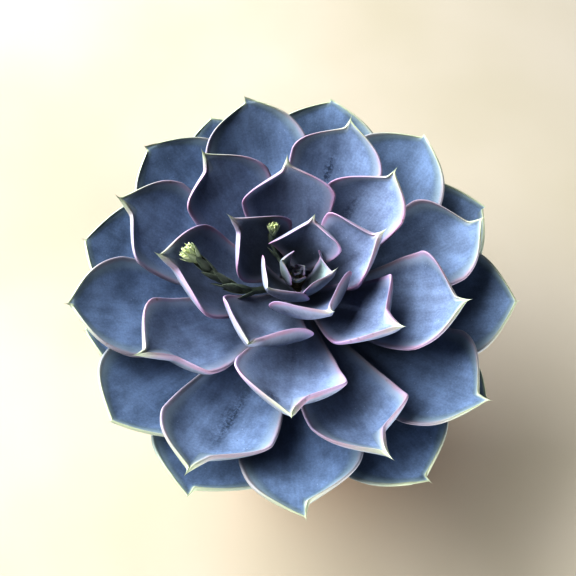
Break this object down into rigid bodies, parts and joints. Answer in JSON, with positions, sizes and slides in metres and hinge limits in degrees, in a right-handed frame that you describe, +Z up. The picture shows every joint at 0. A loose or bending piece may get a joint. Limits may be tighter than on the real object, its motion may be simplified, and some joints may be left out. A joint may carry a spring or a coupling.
{
  "type": "potted ghost echeveria",
  "caption": "Rosette of thick pointed blue-grey leaves with raised pale margins and young flower stalks, on a short stem in gritty soil, in a plain tapered clay pot.",
  "frame": {"origin": "centre of the pot's flat foot, on the surface that it stands on", "axes": "+Z up along the pot's axis and the stem; -Y faces the side that the picture is taken from"},
  "size_m": [0.1535, 0.1565, 0.1465],
  "materials": {
    "clay": "unglazed, matt",
    "soil": "gritty, matt",
    "stem": "corky, matt",
    "leaf": "powdery wax bloom",
    "stalk": "waxy, matt",
    "bud": "waxy, satin"
  },
  "bodies": {
    "root": {"pot": "clay", "soil": "soil", "stem": "stem", "heart": "leaf", "leaf_01": "leaf", "leaf_02": "leaf", "leaf_03": "leaf", "leaf_04": "leaf", "leaf_05": "leaf", "leaf_06": "leaf", "leaf_07": "leaf", "leaf_08": "leaf", "leaf_09": "leaf", "leaf_10": "leaf", "leaf_11": "leaf", "leaf_12": "leaf", "leaf_13": "leaf", "leaf_14": "leaf", "leaf_15": "leaf", "leaf_16": "leaf", "leaf_17": "leaf", "leaf_18": "leaf", "leaf_19": "leaf", "leaf_20": "leaf", "leaf_21": "leaf", "leaf_22": "leaf", "leaf_23": "leaf", "leaf_24": "leaf", "leaf_25": "leaf", "leaf_26": "leaf", "leaf_27": "leaf", "leaf_28": "leaf", "leaf_29": "leaf", "leaf_30": "leaf", "leaf_31": "leaf", "leaf_32": "leaf", "leaf_33": "leaf", "leaf_34": "leaf", "leaf_35": "leaf", "leaf_36": "leaf", "leaf_37": "leaf", "flower_stalk_1": "stalk", "bud_head_1": "bud", "flower_stalk_2": "stalk", "bud_head_2": "bud"}
  },
  "joints": []
}
